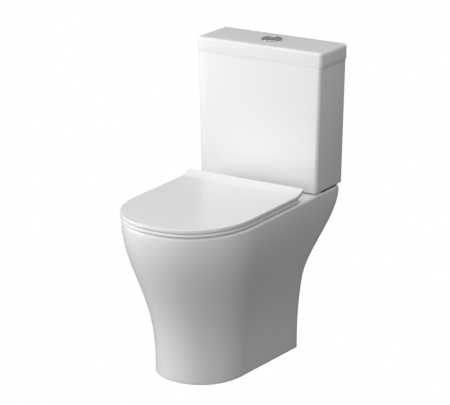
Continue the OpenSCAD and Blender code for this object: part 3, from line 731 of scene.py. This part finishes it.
# %% Seat ring
ring_low, ring_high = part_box("seat_ring")
lid_low, lid_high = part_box("seat_lid")
RING_HW = ring_high.x / MM
LID_HW = lid_high.x / MM
SEAT_NOSE_START, SEAT_POWER = 413.5, 2.28
RING_FOOT = DECK_Z / MM + 2.5
RING_TOP = RING_FOOT + 8.0
RING_BACK = HINGE_DEPTH + 15.0
RING_NOSE = (WALL_Y - ring_low.y) / MM - SEAT_NOSE_START
HINGE_Z = (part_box("damper_barrels")[0].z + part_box("damper_barrels")[1].z) / 2 / MM
KNUCKLE_R, BUSH_R = 9.5, 7.5
EAR_W = 16.0
POST_HW = 9.5
EAR_GAP = 0.6


def ring_outline(z, inset):
    """Outer outline of the seat ring, with large round rear corners."""
    corner = 22.0 - inset
    points = [(RING_HW - inset - corner + corner * math.sin(math.radians(a)),
               RING_BACK + inset + corner - corner * math.cos(math.radians(a))) for a in range(0, 91, 6)]
    straight = [(RING_HW - inset, mix(RING_BACK + 22, SEAT_NOSE_START, i / 12)) for i in range(1, 12)]
    nose = [((RING_HW - inset) * power_of(math.cos(math.pi * i / 96), 2 / SEAT_POWER),
             SEAT_NOSE_START + (RING_NOSE - inset) * math.sin(math.pi * i / 96) ** (2 / SEAT_POWER))
            for i in range(1, 96)]
    right = points + straight
    left = [(-x, d) for x, d in reversed(right)]
    return [Vector((x * MM, at_wall(d), z * MM)) for x, d in right + nose + left]


def knuckle(x_in, arm_low, arm_high, reach):
    """A hinge knuckle with an arm forward into the moulding, both sides of the seat."""
    made = []
    for side in (-1, 1):
        x0, x1 = sorted((side * x_in, side * (x_in + EAR_W)))
        centre = Vector((x0 * MM, at_wall(HINGE_DEPTH), HINGE_Z * MM))
        eye = as_object(turned(rounded(KNUCKLE_R, 3, 0, EAR_W, edge=1.0), centre, axis="x"), "eye")
        core = [(0.0, 1), (4, 1), (4, EAR_W - 1), (0.0, EAR_W - 1)]
        plug = as_object(turned(core, centre, axis="x"), "plug")
        arm = block(x0, x1, HINGE_DEPTH, HINGE_DEPTH + reach, arm_low, arm_high, edge=1.0)
        combine(eye, [plug, arm], "UNION")
        made.append(eye)
    return made


def knuckle_bores(x_in):
    """Cutters for the bushes of a pair of knuckles."""
    made = []
    for side in (-1, 1):
        x0 = min(side * x_in, side * (x_in + EAR_W))
        centre = Vector((x0 * MM, at_wall(HINGE_DEPTH), HINGE_Z * MM))
        made.append(as_object(turned([(0.0, -2), (BUSH_R, -2), (BUSH_R, EAR_W + 2), (0.0, EAR_W + 2)], centre,
                                     axis="x"), "bore"))
    return made


RING_EAR_X = HINGE_X - POST_HW - EAR_GAP - EAR_W
LID_EAR_X = HINGE_X + POST_HW + EAR_GAP
ring_rows = rounded_heights(RING_FOOT, RING_TOP, 1.5, 4.0)
ring = as_object(lofted([ring_outline(z, inset) for z, inset in ring_rows]), "seat_ring_moulding")
opening_rows = [(RING_FOOT - 3, 1.5), (RING_FOOT, 1.5)]
opening_rows += [(RING_FOOT + 1.5 * math.sin(a), 1.5 * (1 - math.sin(a)))
                 for a in (0.4, 0.8, 1.2, math.pi / 2)]
opening_rows += [(RING_TOP - 4 + 4 * math.sin(math.pi / 2 * i / 8), 4 * (1 - math.cos(math.pi / 2 * i / 8)))
                 for i in range(9)] + [(RING_TOP + 3, 4.0)]
OPENING_HW, OPENING_HL, OPENING_MIDDLE = 112.0, 150.0, 414.0
opening = as_object(lofted([egg_outline(z, OPENING_HW + grow, OPENING_HL + grow, OPENING_MIDDLE)
                            for z, grow in opening_rows]), "opening")
combine(ring, [opening], "DIFFERENCE")
combine(ring, knuckle(RING_EAR_X, HINGE_Z - 9, RING_TOP - 0.2, 22), "UNION")
combine(ring, knuckle_bores(RING_EAR_X), "DIFFERENCE")
settle(ring, "seat_ring_body", "seat_ring")

# %% Seat lid
LID_FOOT = RING_TOP + 1.8
LID_TOP = LID_FOOT + 9.3
LIP_RISE, LIP_RUN, LIP_UNDER_RUN, LIP_EDGE = 12.0, 36.0, 27.0, 8.0
LID_BACK = HINGE_DEPTH + 10.5
LID_NOSE = (WALL_Y - lid_low.y) / MM - SEAT_NOSE_START


def lid_outline(z, inset):
    """Outline of the lid, with nearly square rear corners."""
    return d_outline(z, LID_HW - inset, LID_BACK + inset * 0.6, LID_HW - inset, SEAT_NOSE_START,
                     LID_NOSE - inset, SEAT_POWER, corner=1.2)


def lift_lip(bm):
    """Slices the lid across near its back and sweeps the slices up."""
    for i in range(17):
        plane = Vector((0, at_wall(LID_BACK + LIP_RUN * (1 - i / 17)), 0))
        bmesh.ops.bisect_plane(bm, geom=bm.verts[:] + bm.edges[:] + bm.faces[:], dist=0.001 * MM,
                               plane_co=plane, plane_no=(0, 1, 0))
    for v in bm.verts:
        forward = (WALL_Y - v.co.y) / MM - LID_BACK
        over = max(0.0, 1 - forward / LIP_RUN)
        under = max(0.0, 1 - forward / LIP_UNDER_RUN)
        height = (v.co.z / MM - LID_FOOT) / (LID_TOP - LID_FOOT)
        lifted_foot = (LID_TOP + LIP_RISE - LIP_EDGE - LID_FOOT) * under ** 2
        v.co.z += mix(lifted_foot, LIP_RISE * over ** 1.5, height) * MM


rows = rounded_heights(LID_FOOT, LID_TOP, 1.5, 2.0, steps=6)
bm = lofted([lid_outline(z, inset) for z, inset in rows])
lift_lip(bm)
lid = as_object(bm, "seat_lid_moulding", sharp=50)
recess_rows = ((LID_FOOT - 2, 0), (LID_FOOT + 2, 0), (LID_FOOT + 3.4, 0.6), (LID_FOOT + 4, 2))
RECESS_INSET = 12.0
recess = as_object(lofted([d_outline(z, LID_HW - RECESS_INSET - grow, LID_BACK + 34,
                                     LID_HW - RECESS_INSET - grow, SEAT_NOSE_START,
                                     LID_NOSE - RECESS_INSET - grow, SEAT_POWER, corner=10)
                           for z, grow in recess_rows]), "recess")
combine(lid, [recess], "DIFFERENCE", sharp=50)
combine(lid, knuckle(LID_EAR_X, HINGE_Z, HINGE_Z + 9, 24), "UNION", sharp=50)
combine(lid, knuckle_bores(LID_EAR_X), "DIFFERENCE", sharp=50)
settle(lid, "seat_lid_body", "seat_lid")

# %% [markdown]
# ## The dual flush button
# A chrome collar is clamped in the cover, and two buttons fill it: a crescent for the full flush and a lens
# for the half flush. The collar is turned with a round brow. Both buttons are discs cut with nearly the same
# round cutter, so that the slot between them is even, and their edges are bevelled as on pressed metal.

# %% Dual flush button
button_low, button_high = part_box("full_button")
COLLAR_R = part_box("button_collar")[1].x / MM
COLLAR_H = (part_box("button_collar")[1].z - cover_high.z) / MM
BUTTON_R = -button_low.x / MM
BUTTON_FOOT, BUTTON_TOP = button_low.z / MM, button_high.z / MM
SPLIT_MIDDLE, SPLIT_R, SPLIT_GAP = 33.0, 24.0, 0.5

collar = as_object(turned(rounded(COLLAR_R, BUTTON_R + 0.6, 0, COLLAR_H, edge=1.6, arc=6),
                          Vector((0, at_wall(VALVE_DEPTH), cover_high.z)), steps=96), "button_collar_ring")
settle(collar, "cistern_lid_body", "button_collar")


def button(name, operation, gap, body, pockets=()):
    """One half of the split button: the disc less the cutter, or what both share, less its pockets."""
    disc = rod(0, VALVE_DEPTH, BUTTON_FOOT, BUTTON_TOP, BUTTON_R, steps=96)
    cutter = rod(SPLIT_MIDDLE, VALVE_DEPTH, BUTTON_FOOT - 2, BUTTON_TOP + 2, SPLIT_R + gap / 2, steps=120)
    made = combine(disc, [cutter], operation)
    if pockets:
        combine(made, pockets, "DIFFERENCE")
    soften(made, 0.6)
    made.name = name + "_cap"
    return settle(made, body, name)


# The crescent reaches over the half flush spring, so a pocket below it clears that spring at full press.
spring_pocket = rod(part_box("half_rod")[1].x / MM - 3.0, VALVE_DEPTH, BUTTON_FOOT - 1, BUTTON_FOOT + 7.2, 6.2)
button("full_button", "DIFFERENCE", SPLIT_GAP, "full_button_body", [spring_pocket])
button("half_button", "INTERSECT", -SPLIT_GAP, "half_button_body")

# %% [markdown]
# The return springs are real coils: a round wire swept up a helix.

# %% Return springs
COIL_R, WIRE_R, TURNS, TURN_STEPS = 4.9, 0.5, 7, 24


def coil(x, low, high):
    """A round wire wound from low to high, in mm."""
    rings = []
    for i in range(TURNS * TURN_STEPS + 1):
        a = 2 * math.pi * i / TURN_STEPS
        out = Vector((math.cos(a), math.sin(a), 0))
        rise = mix(low + WIRE_R, high - WIRE_R, i / (TURNS * TURN_STEPS))
        middle = Vector((x * MM, at_wall(VALVE_DEPTH), rise * MM)) + out * (COIL_R * MM)
        rings.append([middle + out * (WIRE_R * MM * math.cos(b)) + Vector((0, 0, WIRE_R * MM * math.sin(b)))
                      for b in (math.pi / 4 * k for k in range(8))])
    return lofted(rings)


for kind in ("full", "half"):
    low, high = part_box(kind + "_spring")
    spring = as_object(coil((low.x + high.x) / 2 / MM, low.z / MM, high.z / MM), kind + "_coil", sharp=60)
    settle(spring, "cistern_lid_body", kind + "_spring")
    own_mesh(spring)

# %% [markdown]
# ## Seat hinges and bolts
# Each hinge is a chrome post on a round base, held by a bolt through the pan with a rubber washer and a wing
# nut below. The post's eye holds the damper barrel on which both knuckles turn. The cistern hangs on two
# brass bolts of the same kind. These are turned parts, so each is a spun section, made left and right.

# %% Turned parts in pairs
def gathered(name, parts, sharp=35):
    """Several objects that don't touch, as one piece."""
    bm = bmesh.new()
    for part in parts:
        bm.from_mesh(part.data)
        bpy.data.objects.remove(part)
    return as_object(bm, name, sharp)


def stub(r, low, high, edge):
    """Half section of a solid round part with rounded rims."""
    arc = [(r - edge + edge * math.sin(math.radians(a)), low + edge - edge * math.cos(math.radians(a)))
           for a in (0, 30, 60, 90)]
    return [(0.0, low)] + arc + [(x, low + high - y) for x, y in reversed(arc)] + [(0.0, high)]


def twins(name, section, x, depth, foot, axis="z"):
    """A turned part on the left and on the right."""
    places = [Vector((side * x * MM, at_wall(depth), foot * MM)) for side in (-1, 1)]
    return gathered(name, [as_object(turned(section, place, axis), name) for place in places])


def wing_nut(x, depth, foot, r, height, span, bore):
    """A wing nut: a turned boss, two rounded wings and a bore."""
    boss = as_object(turned(stub(r, 0, height, 0.8), Vector((x * MM, at_wall(depth), foot * MM))), "nut")
    wings = block(x - span / 2, x + span / 2, depth - 2.5, depth + 2.5, foot, foot + height, edge=1.6)
    combine(boss, [wings], "UNION")
    return combine(boss, [rod(x, depth, foot - 1, foot + height + 1, bore)], "DIFFERENCE")


# %% Hinge fittings
BOLT_R, BARREL_R = 4.0, 6.0
UNDER = RIM - DECK_T
settle(twins("hinge_gasket_rings", rounded(13.5, BOLT_R + 1, 0, 1, edge=0.3), HINGE_X, HINGE_DEPTH, RIM),
       ROOT, "hinge_gaskets")
settle(twins("hinge_base_discs", rounded(13.5, BOLT_R + 0.05, 0, 3, edge=1.3, arc=5), HINGE_X, HINGE_DEPTH,
             RIM + 1), ROOT, "hinge_bases")
posts = []
for side in (-1, 1):
    post = as_object(turned(stub(8.0, 0, HINGE_Z - RIM - 4, 0.6),
                            Vector((side * HINGE_X * MM, at_wall(HINGE_DEPTH), (RIM + 4) * MM))), "post")
    centre = Vector(((side * HINGE_X - POST_HW) * MM, at_wall(HINGE_DEPTH), HINGE_Z * MM))
    head = as_object(turned(stub(KNUCKLE_R, 0, 2 * POST_HW, 1.0), centre, axis="x"), "head")
    eye = as_object(turned(stub(BARREL_R + 0.05, -2, 2 * POST_HW + 2, 0.1), centre, axis="x"), "eye")
    combine(post, [head], "UNION")
    posts.append(combine(post, [eye, rod(side * HINGE_X, HINGE_DEPTH, RIM, RIM + 7.9, BOLT_R + 0.05)],
                         "DIFFERENCE"))
settle(gathered("hinge_post_pair", posts), ROOT, "hinge_posts")
BARREL_END = LID_EAR_X + EAR_W + 1
barrels = []
for start in (-BARREL_END, RING_EAR_X - 1):
    centre = Vector((start * MM, at_wall(HINGE_DEPTH), HINGE_Z * MM))
    barrel = stub(BARREL_R, 0, BARREL_END - RING_EAR_X + 1, 0.8)
    barrels.append(as_object(turned(barrel, centre, axis="x"), "barrel"))
settle(gathered("damper_barrel_pair", barrels), ROOT, "damper_barrels")
settle(twins("hinge_bolt_pair", stub(BOLT_R, 0, 69, 1.0), HINGE_X, HINGE_DEPTH, RIM - 62),
       ROOT, "hinge_bolts")
settle(twins("hinge_washer_pair", rounded(15, BOLT_R + 0.2, 0, 5, edge=1.2), HINGE_X, HINGE_DEPTH, UNDER - 5),
       ROOT, "hinge_washers")
hinge_nuts = [wing_nut(side * HINGE_X, HINGE_DEPTH, UNDER - 16, 11, 11, 40, BOLT_R + 0.05)
              for side in (-1, 1)]
settle(gathered("hinge_nut_pair", hinge_nuts), ROOT, "hinge_nuts")

# %% Coupling bolts
TANK_FLOOR = TANK_FOOT + 12
SHANK_LOW, SHANK_HIGH = RIM - 60, TANK_FLOOR + 6.5
bolt_section = [(0, 0), (3, 0), (4, 1), (4, SHANK_HIGH - SHANK_LOW), (8, SHANK_HIGH - SHANK_LOW),
                (8, SHANK_HIGH - SHANK_LOW + 2.6), (7.2, SHANK_HIGH - SHANK_LOW + 3.5),
                (5.5, SHANK_HIGH - SHANK_LOW + 4), (0, SHANK_HIGH - SHANK_LOW + 4)]
bolts = twins("coupling_bolt_pair", bolt_section, COUPLING_X, VALVE_DEPTH, SHANK_LOW)
combine(bolts, [block(s * COUPLING_X - 10, s * COUPLING_X + 10, VALVE_DEPTH - 0.8, VALVE_DEPTH + 0.8,
                      SHANK_HIGH + 2.5, SHANK_HIGH + 8) for s in (-1, 1)], "DIFFERENCE")
settle(bolts, ROOT, "coupling_bolts")
for name, node, r, height, edge, foot in (
        ("tank_rubber_washers", "bolt_rubber_washers", 13, 5, 1.2, TANK_FLOOR),
        ("tank_steel_washers", "bolt_steel_washers", 11, 1.5, 0.3, TANK_FLOOR + 5),
        ("deck_rubber_washers", "deck_washers", 13, 4, 1.2, UNDER - 4)):
    settle(twins(name, rounded(r, 4.1, 0, height, edge=edge), COUPLING_X, VALVE_DEPTH, foot), ROOT, node)
settle(gathered("coupling_nut_pair", [wing_nut(s * COUPLING_X, VALVE_DEPTH, UNDER - 12, 8, 8, 30, 4.05)
                                      for s in (-1, 1)]), ROOT, "coupling_wing_nuts")

# %% [markdown]
# ## Buffers
# Soft grey buffers keep the ring off the china and the lid off the ring. They are moulded domes with a
# rounded foot, two on each side.

# %% Buffers
def buffers(name, node, body, places, r, low, high):
    """Four round buffers, two on each side, from low to high in mm."""
    section = stub(r, 0, high - low, 0.8)
    made = [as_object(turned(section, Vector((side * x * MM, at_wall(depth), low * MM))), "buffer")
            for x, depth in places for side in (-1, 1)]
    return settle(gathered(name, made), body, node)


buffers("ring_buffer_set", "ring_buffers", "seat_ring_body", ((146, 300), (122, 520)), 7, RIM + 0.1,
        RING_FOOT)
buffers("lid_buffer_set", "lid_buffers", "seat_lid_body", ((140, 300), (114, 515)), 6, RING_TOP + 0.1,
        LID_FOOT + 4)
